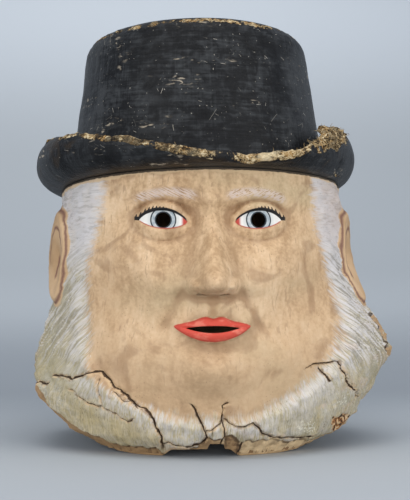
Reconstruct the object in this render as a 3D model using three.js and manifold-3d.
// Papier-mache carnival mask: a hollow moulded head that goes over the wearer's own, with white
// side whiskers and a fringe of beard, under a low black top hat with a rolled brim.
// Millimetres, +Z up, the face looks along -Y. The mask stands on the rim of its neck, and the
// origin is under the middle of it, on the surface that the rim stands on.
import * as THREE from "three";
import { mergeVertices } from "three/addons/utils/BufferGeometryUtils.js";
import Module from "manifold-3d";

const { degToRad: rad, lerp, smoothstep } = THREE.MathUtils;

// Driving dimensions of the head
const WALL = 4; // pasted paper, the same all over
const INNER_CLEAR = 10; // the inside of the face is smoothed over this reach
const GAP = 0.3; // between the head's upper edge and the brim that it is glued under
const MIDDLE = new THREE.Vector2(12, -5.4); // middle of the mask's plan, from the head's own axis
const HEAD_LEVELS = [
  { z: -30, half: 100, front: 106, back: 100 },
  { z: 0, half: 134, front: 132, back: 118 },
  { z: 30, half: 160, front: 150, back: 128 },
  { z: 60, half: 175, front: 157, back: 131 },
  { z: 90, half: 179, front: 157, back: 130 },
  { z: 120, half: 171, front: 154, back: 130 },
  { z: 150, half: 159, front: 151, back: 132 },
  { z: 190, half: 151, front: 149, back: 138 },
  { z: 240, half: 147, front: 147, back: 145 },
  { z: 300, half: 142, front: 143, back: 146 },
];
// The whiskers hang a little to one side, between these heights and past these turns from the nose
const WHISKER_SWAY = { reach: 13, low: [45, 95], high: [110, 190], from: rad(25), to: rad(65) };
const SHOULDER_ARCH = { rise: 85, at: rad(92), width: rad(27), sill: 0.6 };
const CHIP_FLOOR = 0.6; // share of a chip's width that is level
const RIM_CHIPS = [
  { x: -9, half: 40, rise: 8 },
  { x: 5, half: 10, rise: 14 },
];
const CHIP_FADE = 34; // a chip lifts the rings above it less and less over this height
const LEDGE = 0.86; // the rim's flat edge runs in to this share of its radius

// Driving dimensions of the face, by the usual rule: eyes one eye apart, and brow, nose base and
// chin a third of the face apart
const EYE = 46;
const CHIN_Z = 65;
const THIRD = 92;
const NOSE_Z = CHIN_Z + THIRD;
const BROW_Z = NOSE_Z + THIRD;
const EYE_Z = BROW_Z - 21;
const MOUTH_Z = NOSE_Z - THIRD / 3;
const NOSE = { tipZ: NOSE_Z + 15, rootZ: BROW_Z - 8, reach: 37, rootReach: 3, sink: 4.5 };
const NOSE_RIDGE = { lower: 33, taper: 0.92, half: 19, rootHalf: 12, narrowest: 0.75, square: 2.3 };
const NOSE_FLANK = { share: 0.3, spread: 2.1 };
const NOSE_TIP = { half: 16, across: 2.6, up: 2.4, soft: 6 };
const NOSE_WING = { x: 17, z: NOSE_Z + 8.5, wide: 8.5, tall: 9.5, height: 24, soft: 5 };
const NOSE_UNDERSIDE = { from: NOSE_Z - 5, to: NOSE_Z + 9, dip: 1.5, dipHalf: 7 };
const SOCKETS = [
  { x: -1, z: 2, wide: 30, tall: 18, height: -14 },
  { x: -24, z: 5, wide: 11, tall: 13, height: -4 },
];
const EYEBALL = { half: 29, tall: 19, height: 11.5, roundness: 0.8 };
const OPENING = { above: 10.5, aboveBow: 0.75, below: 7, belowBow: 0.8, slant: 1.2 };
const LID = { height: 2.4, edge: 1.2, crest: 2, upper: [5, 11], lower: [3, 9], corner: 1.35 };
const LID_FOLD = { over: 9.5, half: 2.4, depth: 2, from: 0.9, to: 1.3 };
const BROW = { x: 44, over: 4, bow: 17, wide: 32, tall: 9, height: 6 };
const CHEEK_FOLD = { x: 27, topZ: NOSE_Z + 6, slope: 0.46, curve: 0.0028, half: 5.5, depth: 3.4 };
const CHEEK_FOLD_ENDS = { low: [MOUTH_Z - 16, MOUTH_Z + 6], high: [NOSE_Z + 4, NOSE_Z + 16] };
const LIPS = { half: 37, upper: 12, lower: 13, swell: 7.5, sag: 1.2 };
const LIP_BOW = { rest: 0.8, peak: 0.24, peakAt: 0.26, peakHalf: 0.2, dip: 0.08, dipHalf: 4 };
const LIP_ROLL = { crest: 0.45, half: 0.62, upperTaper: 0.62, lowerTaper: 0.9 };
const PUPIL_R = 7;
const NOSTRIL = { x: 10.5, y: -163, z: NOSE_Z + 4, wide: 5.5, tall: 4, lean: rad(52) };
const MOUTH_SLIT = { half: 26, above: 2.5, below: 4.5 };

// Swellings and hollows of the face, the same on both sides
const FACE_FORMS = [
  { form: "between the brows", x: 0, z: BROW_Z + 2, wide: 16, tall: 13, height: 5 },
  { form: "cheekbone", x: 74, z: NOSE_Z + 32, wide: 32, tall: 26, height: 7 },
  { form: "cheek by the nose", x: 50, z: NOSE_Z + 8, wide: 20, tall: 24, height: 5 },
  { form: "hollow of the cheek", x: 72, z: NOSE_Z - 12, wide: 22, tall: 26, height: -3.5 },
  { form: "round of the mouth", x: 0, z: MOUTH_Z + 3, wide: 42, tall: 36, height: 11 },
  { form: "groove under the nose", x: 0, z: MOUTH_Z + 20, wide: 4, tall: 8, height: -2.2 },
  { form: "ridge by the groove", x: 7, z: MOUTH_Z + 20, wide: 3, tall: 9, height: 1.2 },
  { form: "corner of the mouth", x: LIPS.half + 4, z: MOUTH_Z, wide: 7, tall: 8, height: -2.6 },
  { form: "dip under the lip", x: 0, z: MOUTH_Z - 21, wide: 25, tall: 8, height: -6 },
  { form: "chin", x: 0, z: CHIN_Z + 20, wide: 31, tall: 20, height: 13 },
  { form: "jaw", x: 62, z: CHIN_Z + 32, wide: 34, tall: 26, height: 4 },
];

// The bare skin between the whiskers: its half-width at the middle and top, and its drop below
const SKIN = { half: 120, top: 109, middle: 172, drop: 134 };
const BEHIND = 450; // stands for any place behind the head's sides, far outside the skin

// Driving dimensions of the hair and the ears
const BEARD_STEP = 6;
const HAIR_STEP = 1.5;
const HAIR_SOURCE_Z = 190; // the hair is combed away from this height on the face's midline
const HAIR_COMB = 300; // how strongly it is combed outwards against its downward fall
const HAIR_FADES = { edge: [-1, 9], rim: [2, 22], thins: [90, 200], nape: [1.7, 3] };
const LOCK = { period: 54, height: 1.4, wander: 31, drift: 23 };
const HEAD_R = 150; // turns an angle round the head into a length
const EAR = { at: rad(76), z: 194, half: 28, tall: 53, lean: 0.14, widen: 0.16 };
const EAR_SHELL = { height: 9, edge: -0.02, slope: 0.3, tilt: 0.28 };
const EAR_RIM = { in: 0.16, half: 0.09, height: 2.5 };
const EAR_HOLLOW = { at: -0.12, wide: 0.34, tall: 0.4, height: -5 };

// Driving dimensions of the hat, in its own frame, which leans back on the head
const HAT_BASE = new THREE.Vector3(-3, 4, 263);
const HAT_LEAN = rad(6.2);
const HAT_ROLL = rad(0.5);
const CROWN = {
  half: 136,
  depth: 146,
  topHalf: 115,
  topDepth: 126,
  height: 158,
  corner: 17,
  dome: 3,
  domeRing: 45, // the top swells most inside a ring this far in from its corner
  domeShare: 0.7,
};
const BRIM_REACH = 30.5;
const BRIM_LOPSIDED = 0.07; // the roll is a little fuller on the wearer's left
const BRIM_THICK = 5;
const BRIM_EDGE = 9;
const BRIM_SWELLS = 0.7; // from this share of its run the brim thickens towards its edge
const BRIM_SKEW = { slope: 0.172, lift: 0.088 }; // how much higher the fuller side also rises
const BRIM_FLAT = { ends: 20, sides: 8 };
const BRIM_BEND = { ends: rad(20), sides: rad(156), growth: 0.6, soft: 0.002 };
const BRIM_TEAR = { from: rad(14), to: rad(43), step: 0.1, loss: 0.34 };
const BRIM_WEAR = [
  { depth: 0.012, waves: 17, shift: 0 },
  { depth: 0.01, waves: 29, shift: 1 },
];

// Facets
const HEAD_COLUMNS = 88;
const OUTER_ROWS = 33;
const INNER_COLUMNS = 36;
const INNER_ROWS = 10;
const HAT_COLUMNS = 42;
const COLUMN_CROWDING = {
  everywhere: 0.55,
  crowds: [
    { form: "face", more: 2.2, from: 0, half: 34 }, // degrees round from the nose
    { form: "ear", more: 0.9, from: 78, half: 14 },
  ],
};
const ROW_CROWDING = {
  everywhere: 0.62,
  crowds: [
    { form: "mouth and nose", more: 1.5, from: 0.52, half: 0.13 }, // share of the head's height
    { form: "eyes", more: 1.6, from: 0.82, half: 0.06 },
  ],
};
const HOLE_FACETS = 14;
const BRIM_RINGS = 5;
const BRIM_LAST_RING = 5.4; // the brim's edge lies this many ring steps out from the crown
const CROWN_RING_Z = 60; // the crown's walls have one ring between brim and corner

// The hollow and the openings are cut by bodies that run past the paper
const HOLLOW = { below: 26, above: 12, floorZ: -40, roofZ: 330 };
const CUT = { length: 80, y: -150, backY: -110 };

const hill = (u) => Math.exp(-u * u);
const mound = (x, z, m) => m.height * hill(Math.hypot((x - m.x) / m.wide, (z - m.z) / m.tall));
const within = (v) => THREE.MathUtils.clamp(v, 0, 1);
const blendMax = (a, b, soft) => (a + b + Math.hypot(a - b, soft)) / 2;

// A smooth curve through one measure of the head's levels.
function alongLevels(key, z) {
  const end = HEAD_LEVELS.length - 1;
  let i = 0;
  while (i < end - 1 && z > HEAD_LEVELS[i + 1].z) i += 1;
  const slope = (j) => {
    const below = HEAD_LEVELS[Math.max(j - 1, 0)];
    const above = HEAD_LEVELS[Math.min(j + 1, end)];
    return (above[key] - below[key]) / (above.z - below.z);
  };
  const low = HEAD_LEVELS[i];
  const high = HEAD_LEVELS[i + 1];
  const step = high.z - low.z;
  const t = (z - low.z) / step;
  const rise = high[key] - low[key];
  const bowLow = slope(i) * step - rise;
  const bowHigh = rise - slope(i + 1) * step;
  return low[key] + rise * t + t * (1 - t) * (bowLow * (1 - t) + bowHigh * t);
}

function sway(z, turn) {
  const { reach, low, high, from, to } = WHISKER_SWAY;
  const level = smoothstep(z, ...low) * (1 - smoothstep(z, ...high));
  return reach * level * smoothstep(turn, from, to);
}

// The nose, as its height over the face: ridge, tip and wings, cut off underneath.
function nose(x, z) {
  const across = Math.abs(x);
  const up = within((z - NOSE.tipZ) / (NOSE.rootZ - NOSE.tipZ));
  const height = lerp(NOSE_RIDGE.lower, NOSE.rootReach, up ** NOSE_RIDGE.taper);
  const half = lerp(NOSE_RIDGE.half, NOSE_RIDGE.rootHalf, smoothstep(up, 0, NOSE_RIDGE.narrowest));
  const ridge = height * Math.exp(-((across / half) ** NOSE_RIDGE.square));
  const flank = NOSE_FLANK.share * height * hill(across / (NOSE_FLANK.spread * half));
  const beside = (across / NOSE_TIP.half) ** NOSE_TIP.across;
  const tip = NOSE.reach * Math.exp(-beside - (Math.abs(z - NOSE.tipZ) / NOSE_TIP.half) ** NOSE_TIP.up);
  const wing = mound(across, z, NOSE_WING);
  const { from, to, dip, dipHalf } = NOSE_UNDERSIDE;
  const underside = smoothstep(z, from - dip * hill(x / dipHalf), to);
  const joined = blendMax(blendMax(ridge, tip, NOSE_TIP.soft), wing, NOSE_WING.soft);
  return underside * (joined - NOSE.sink + flank);
}

// The eyes: a socket, the ball in it, and lids with a fold over them round the painted opening.
function eyes(x, z) {
  const u = Math.abs(x) - EYE;
  const v = z - EYE_Z;
  const socket = SOCKETS.reduce((sum, form) => sum + mound(u, v, form), 0);
  const dome = 1 - (u / EYEBALL.half) ** 2 - (v / EYEBALL.tall) ** 2;
  const ball = EYEBALL.height * Math.max(0, dome) ** EYEBALL.roundness;
  const k = u / (EYE / 2);
  const bow = Math.max(0, 1 - k * k);
  const above = v - OPENING.above * bow ** OPENING.aboveBow - OPENING.slant * k;
  const below = OPENING.slant * k - OPENING.below * bow ** OPENING.belowBow - v;
  const beside = k * k > 1 ? (Math.abs(k) - 1) * (EYE / 2) : -Infinity;
  const fade = v > 0 ? 1 - smoothstep(above, ...LID.upper) : 1 - smoothstep(below, ...LID.lower);
  const outside = smoothstep(Math.max(above, below, beside), -LID.edge, LID.crest);
  const lids = LID.height * outside * fade * (1 - smoothstep(Math.abs(k), 1, LID.corner));
  const foldEnds = 1 - smoothstep(Math.abs(k), LID_FOLD.from, LID_FOLD.to);
  const fold = LID_FOLD.depth * hill((above - LID_FOLD.over) / LID_FOLD.half) * foldEnds;
  return socket + ball + lids - fold;
}

// The lips: two soft rolls that meet along the mouth's line, with a dip in the upper one.
function lips(x, z) {
  const u = Math.abs(x) / LIPS.half;
  if (u >= 1) return 0;
  const bow = 1 - u * u;
  const v = z - MOUTH_Z - LIPS.sag * u * u;
  const rise = LIP_BOW.peak * hill((u - LIP_BOW.peakAt) / LIP_BOW.peakHalf);
  const peak = LIP_BOW.rest + rise - LIP_BOW.dip * hill(x / LIP_BOW.dipHalf);
  const upper = LIPS.upper * peak * (1 - u) ** LIP_ROLL.upperTaper;
  const lower = LIPS.lower * bow ** LIP_ROLL.lowerTaper;
  const across = (Math.abs(v) / Math.max(v > 0 ? upper : lower, 0.1) - LIP_ROLL.crest) / LIP_ROLL.half;
  return LIPS.swell * bow ** LIP_ROLL.crest * Math.sqrt(Math.max(0, 1 - across * across));
}

// How far the face stands forward of the plain head, looking straight at it.
function face(x, z) {
  const side = Math.abs(x);
  const under = CHEEK_FOLD.topZ - z;
  const foldAt = CHEEK_FOLD.x + CHEEK_FOLD.slope * under + CHEEK_FOLD.curve * under * under;
  const { low, high } = CHEEK_FOLD_ENDS;
  const foldEnds = smoothstep(z, ...low) * (1 - smoothstep(z, ...high));
  const fold = CHEEK_FOLD.depth * hill((side - foldAt) / CHEEK_FOLD.half) * foldEnds;
  const browZ = BROW_Z + BROW.over - ((side - BROW.x) / BROW.bow) ** 2;
  const brow = mound(side, z, { ...BROW, z: browZ });
  const forms = FACE_FORMS.reduce((sum, form) => sum + mound(side, z, form), 0);
  return forms + brow - fold + eyes(x, z) + nose(x, z) + lips(x, z);
}

// How far a point lies outside the bare skin, in millimetres; below zero on the skin.
function pastSkin(x, z) {
  const below = Math.max(0, SKIN.middle - z) / SKIN.drop;
  const half = lerp(SKIN.half, SKIN.top, smoothstep(z, SKIN.middle, BROW_Z));
  return SKIN.half * (Math.hypot(x / half, below) - 1);
}

// A low ear: a raised shell with a rim round a hollow, by its place from the ear's middle.
function ear(across, up) {
  const v = up / EAR.tall;
  const u = (across - EAR.lean * up) / (EAR.half * (1 + EAR.widen * v));
  const inside = 1 - Math.hypot(u, v);
  const { height, edge, slope, tilt } = EAR_SHELL;
  const shell = height * smoothstep(inside, edge, slope) * (1 - tilt + tilt * u);
  const rim = EAR_RIM.height * hill((inside - EAR_RIM.in) / EAR_RIM.half);
  const hollow = mound(u, v, { ...EAR_HOLLOW, x: EAR_HOLLOW.at, z: EAR_HOLLOW.at });
  return shell + rim + hollow;
}

// How far hair, beard and ears stand out square to the plain head.
function hair(along, z) {
  const turn = Math.abs(along) / HEAD_R;
  const x = turn < Math.PI / 2 ? HEAD_R * Math.sin(turn) : BEHIND;
  const hairy = smoothstep(pastSkin(x, z), ...HAIR_FADES.edge) * smoothstep(z, ...HAIR_FADES.rim);
  const step = lerp(BEARD_STEP, HAIR_STEP, smoothstep(z, ...HAIR_FADES.thins));
  const comb = HAIR_COMB * (1 - smoothstep(turn, ...HAIR_FADES.nape));
  const strand = comb * Math.atan2(z - HAIR_SOURCE_Z, Math.abs(along)) + Math.abs(along);
  const wander = Math.sin(strand / LOCK.wander + z / LOCK.drift);
  const lock = LOCK.height * Math.sin((2 * Math.PI * strand) / LOCK.period + wander);
  const earShape = ear(HEAD_R * (turn - EAR.at), z - EAR.z);
  return hairy * (step + lock * (1 - smoothstep(earShape, 0, 3))) + earShape;
}

// The lowest relief near a place: the inside of the paper keeps clear of it, and is plainer.
function innerRelief(relief, u, v) {
  let least = relief(u, v);
  for (const reach of [0.5 * INNER_CLEAR, INNER_CLEAR]) {
    for (let k = 0; k < 8; k += 1) {
      const a = (k * Math.PI) / 4;
      least = Math.min(least, relief(u + reach * Math.cos(a), v + reach * Math.sin(a)));
    }
  }
  return least;
}

// A point on the head: theta runs round it from the nose, and inset is 0 outside, WALL inside.
function headPoint(theta, z, inset = 0) {
  const half = alongLevels("half", z) - inset;
  const depth = alongLevels(Math.cos(theta) > 0 ? "front" : "back", z) - inset;
  const out = new THREE.Vector2(Math.sin(theta) / half, -Math.cos(theta) / depth).normalize();
  const plan = new THREE.Vector2(half * Math.sin(theta), -depth * Math.cos(theta));
  const along = theta * HEAD_R;
  const stand = inset ? innerRelief(hair, along, z) : hair(along, z);
  const ahead = Math.cos(theta) > 0 ? 1 : 0;
  const forward = ahead * (inset ? innerRelief(face, plan.x, z) : face(plan.x, z));
  plan.addScaledVector(out, stand);
  return new THREE.Vector3(plan.x + sway(z, Math.abs(theta)), plan.y - forward, z);
}

// Height of the neck's cut edge: arched over the shoulders, and chipped under the chin.
function rimHeight(theta) {
  const arch = SHOULDER_ARCH.rise * hill((Math.abs(theta) - SHOULDER_ARCH.at) / SHOULDER_ARCH.width);
  const x = alongLevels("half", 0) * Math.sin(theta);
  const front = Math.cos(theta) > 0 ? 1 : 0;
  const chips = RIM_CHIPS.map(({ x: at, half, rise }) => {
    return rise * (1 - smoothstep(Math.abs(x - at), CHIP_FLOOR * half, half));
  });
  return { arch: Math.max(0, arch - SHOULDER_ARCH.sill), chip: front * Math.max(...chips) };
}

const hatFrame = new THREE.Matrix4()
  .makeTranslation(HAT_BASE)
  .multiply(new THREE.Matrix4().makeRotationY(-HAT_ROLL))
  .multiply(new THREE.Matrix4().makeRotationX(-HAT_LEAN));
const hatUp = new THREE.Vector3(0, 0, 1).transformDirection(hatFrame);

// Height at which a line up through (x, y) meets the plane under the brim.
function underBrim(x, y) {
  const across = hatUp.x * (x - HAT_BASE.x) + hatUp.y * (y - HAT_BASE.y);
  return HAT_BASE.z - (GAP + across) / hatUp.z;
}

function topHeight(theta) {
  let z = HAT_BASE.z;
  for (let i = 0; i < 4; i += 1) {
    const p = headPoint(theta, z);
    z = underBrim(p.x, p.y);
  }
  return z;
}

// Positions from 0 to 1 that crowd together where the density is high.
function spaced(count, density, closed) {
  const samples = 2000;
  const sums = [0];
  for (let i = 0; i < samples; i += 1) sums.push(sums[i] + density((i + 0.5) / samples));
  const steps = closed ? count : count - 1;
  return Array.from({ length: count }, (_, k) => {
    const goal = (sums[samples] * k) / steps;
    const i = Math.min(samples - 1, Math.max(0, sums.findIndex((s) => s > goal) - 1));
    if (k === steps) return 1;
    return (i + (goal - sums[i]) / (sums[i + 1] - sums[i])) / samples;
  });
}

const crowding = ({ everywhere, crowds }, at) =>
  crowds.reduce((sum, { more, from, half }) => sum + more * hill((at - from) / half), everywhere);
const columnDensity = (t) => crowding(COLUMN_CROWDING, Math.abs(t * 360 - 180));
const rowDensity = (t) => crowding(ROW_CROWDING, t);

// A closed skin over rings of points, with a pole before the first ring and one after the last.
function loft(rings, firstPole, lastPole) {
  const count = rings[0].length;
  const points = [firstPole, ...rings.flat(), lastPole];
  const at = (ring, k) => 1 + ring * count + (k % count);
  const last = points.length - 1;
  const faces = [];
  for (let k = 0; k < count; k += 1) {
    faces.push(0, at(0, k + 1), at(0, k));
    faces.push(last, at(rings.length - 1, k), at(rings.length - 1, k + 1));
    for (let r = 0; r + 1 < rings.length; r += 1) {
      const [a, b, c, d] = [at(r, k), at(r, k + 1), at(r + 1, k + 1), at(r + 1, k)];
      faces.push(a, b, c, a, c, d);
    }
  }
  const geometry = new THREE.BufferGeometry().setFromPoints(points);
  geometry.setIndex(faces);
  return geometry;
}

// Rings of points on the head from its rim to the brim. A chip lifts only the rings nearest it.
function headRings(count, rows, below, above, inset) {
  const columns = spaced(count, columnDensity, true).map((t) => (2 * t - 1) * Math.PI);
  const span = columns.map((theta) => ({ ...rimHeight(theta), top: topHeight(theta) + above }));
  return spaced(rows, rowDensity, false).map((t) =>
    columns.map((theta, k) => {
      const { arch, chip, top } = span[k];
      const z = lerp(arch - below, top, t);
      return headPoint(theta, z + chip * Math.exp(-Math.max(0, z - arch) / CHIP_FADE), inset);
    }),
  );
}

// The filled outside of the head, down to its cut rim, whose edge is level across the wall.
function headOutside() {
  const rings = headRings(HEAD_COLUMNS, OUTER_ROWS, 0, 0, 0);
  const ledge = rings[0].map((p) => new THREE.Vector3(LEDGE * p.x, LEDGE * p.y, p.z));
  const under = new THREE.Vector3(0, 0, SHOULDER_ARCH.rise / 2);
  return loft([ledge, ...rings], under, new THREE.Vector3(0, 0, underBrim(0, 0)));
}

// The hollow inside it, run on past the rim below and the upper edge above.
function headHollow() {
  const rings = headRings(INNER_COLUMNS, INNER_ROWS, HOLLOW.below, HOLLOW.above, WALL);
  return loft(rings, new THREE.Vector3(0, 0, HOLLOW.floorZ), new THREE.Vector3(0, 0, HOLLOW.roofZ));
}

// A rod through the front wall only, for the pupils and nostrils.
function piercer(wide, tall, lean, x, y, z) {
  const rod = new THREE.CylinderGeometry(1, 1, CUT.length, HOLE_FACETS).scale(wide, 1, tall);
  return rod.rotateX(lean).translate(x, y, z);
}

function mouthSlit() {
  const { half, above, below } = MOUTH_SLIT;
  const slit = new THREE.Shape().moveTo(-half, 0);
  slit.quadraticCurveTo(0, 2 * above, half, 0);
  slit.quadraticCurveTo(0, -2 * below, -half, 0);
  const settings = { depth: CUT.length, bevelEnabled: false, curveSegments: 8 };
  const block = new THREE.ExtrudeGeometry(slit, settings);
  return block.rotateX(Math.PI / 2).translate(0, CUT.backY, MOUTH_Z);
}

// The brim's section at an angle round the hat: flat under the crown's edge, then rolled up.
function brimSection(phi, share, side, edge = 0) {
  const sideways = (Math.sin(phi) ** 2 + BRIM_BEND.soft) ** (BRIM_BEND.growth / 2);
  const bend = lerp(BRIM_BEND.ends, BRIM_BEND.sides, sideways) * (1 + BRIM_LOPSIDED * Math.sin(phi));
  const flat = lerp(BRIM_FLAT.ends, BRIM_FLAT.sides, sideways);
  const reach = BRIM_REACH * (1 - BRIM_LOPSIDED * Math.sin(phi));
  const roll = (reach - flat) / Math.sin(Math.min(bend, Math.PI / 2));
  const { from, to, step, loss } = BRIM_TEAR;
  const torn = loss * smoothstep(phi, 0, from) * (1 - smoothstep(phi, to, to + step));
  const worn = BRIM_WEAR.reduce((sum, w) => sum + w.depth * Math.sin(w.waves * phi + w.shift), 0);
  const run = share * (flat + roll * bend) * (1 - torn - worn);
  const turn = Math.max(0, run - flat) / roll;
  const half = lerp(BRIM_THICK, BRIM_EDGE, smoothstep(share, BRIM_SWELLS, 1)) / 2;
  const lift = side * half;
  const out = Math.min(run, flat) + roll * Math.sin(turn) + edge * half * Math.cos(turn);
  const skew = BRIM_SKEW.slope * Math.sin(phi) + BRIM_SKEW.lift * Math.sin(phi) ** 2;
  const rise = roll * (1 - Math.cos(turn)) * (1 + skew);
  const up = BRIM_THICK / 2 + rise + edge * half * Math.sin(turn);
  return { out: out - lift * Math.sin(turn), up: up + lift * Math.cos(turn) };
}

function hatRing(radiusOf) {
  return Array.from({ length: HAT_COLUMNS }, (_, k) => {
    const phi = (2 * Math.PI * (k + 0.5)) / HAT_COLUMNS - Math.PI;
    return radiusOf(phi);
  });
}

// A ring of the crown at a height, taken in all round by an inset.
function crownRing(height, inset) {
  const t = height / CROWN.height;
  const half = lerp(CROWN.half, CROWN.topHalf, t) - inset;
  const depth = lerp(CROWN.depth, CROWN.topDepth, t) - inset;
  return hatRing((phi) => new THREE.Vector3(half * Math.sin(phi), -depth * Math.cos(phi), height));
}

function brimRing(share, side, edge) {
  return hatRing((phi) => {
    const { out, up } = brimSection(phi, share, side, edge);
    const outward = new THREE.Vector2(Math.sin(phi) / CROWN.half, -Math.cos(phi) / CROWN.depth);
    outward.normalize().multiplyScalar(out);
    return new THREE.Vector3(
      CROWN.half * Math.sin(phi) + outward.x,
      -CROWN.depth * Math.cos(phi) + outward.y,
      up,
    );
  });
}

// Rings from the middle of the crown's top round its corner, on a corner of that radius.
function crownTop(steps, inset) {
  const corner = CROWN.corner - inset;
  const floor = CROWN.height - CROWN.corner;
  const arc = Array.from({ length: steps }, (_, i) => {
    const a = (Math.PI / 2) * (1 - i / (steps - 1));
    return crownRing(floor + corner * Math.sin(a), inset + corner * (1 - Math.cos(a)));
  });
  const middle = crownRing(CROWN.height - inset, CROWN.corner + CROWN.domeRing);
  middle.forEach((p) => (p.z += CROWN.domeShare * CROWN.dome));
  return [middle, ...arc];
}

function hatGeometry() {
  const sweep = (side) =>
    Array.from({ length: BRIM_RINGS }, (_, i) => brimRing((i + 1) / BRIM_LAST_RING, side, 0));
  const rings = [
    ...crownTop(5, 0),
    crownRing(CROWN_RING_Z, 0),
    crownRing(BRIM_THICK, 0),
    ...sweep(1),
    brimRing(1, 0.8, 0.5),
    brimRing(1, 0, 1),
    brimRing(1, -0.8, 0.5),
    ...sweep(-1).reverse(),
    crownRing(0, WALL),
    crownRing(CROWN_RING_Z, WALL),
    ...crownTop(3, WALL).reverse(),
  ];
  const top = new THREE.Vector3(0, 0, CROWN.height + CROWN.dome);
  const ceiling = new THREE.Vector3(0, 0, CROWN.height + CROWN.dome - WALL);
  const flipped = rings.map((ring) => ring.reverse());
  return loft(flipped, top, ceiling).applyMatrix4(hatFrame);
}

const wasm = await Module();
wasm.setup();

function solidOf(geometry) {
  const bare = new THREE.BufferGeometry().setAttribute("position", geometry.getAttribute("position"));
  if (geometry.index) bare.setIndex(geometry.index);
  const merged = mergeVertices(bare, 1e-3);
  const vertProperties = new Float32Array(merged.attributes.position.array);
  const triVerts = new Uint32Array(merged.index.array);
  return new wasm.Manifold(new wasm.Mesh({ numProp: 3, vertProperties, triVerts }));
}

function geometryOf(solid) {
  const { vertProperties, triVerts } = solid.getMesh();
  const geometry = new THREE.BufferGeometry();
  geometry.setAttribute("position", new THREE.BufferAttribute(vertProperties, 3));
  geometry.setIndex(new THREE.BufferAttribute(triVerts, 1));
  geometry.computeVertexNormals();
  return geometry;
}

function headGeometry() {
  const holes = [mouthSlit()];
  for (const side of [-1, 1]) {
    holes.push(piercer(PUPIL_R, PUPIL_R, 0, side * EYE, CUT.y, EYE_Z + 1));
    holes.push(piercer(NOSTRIL.wide, NOSTRIL.tall, NOSTRIL.lean, side * NOSTRIL.x, NOSTRIL.y, NOSTRIL.z));
  }
  let shell = solidOf(headOutside()).subtract(solidOf(headHollow()));
  for (const hole of holes) shell = shell.subtract(solidOf(hole));
  return geometryOf(shell);
}

function painted(geometry, color, roughness, name) {
  const material = new THREE.MeshStandardMaterial({ color, roughness, metalness: 0 });
  const mesh = new THREE.Mesh(geometry, material);
  mesh.name = name;
  return mesh;
}

const mask = new THREE.Group();
mask.add(painted(headGeometry(), "#c8a984", 0.75, "head"));
mask.add(painted(hatGeometry(), "#2c2e31", 0.5, "hat"));
mask.position.set(-MIDDLE.x, -MIDDLE.y, 0);

export default mask;
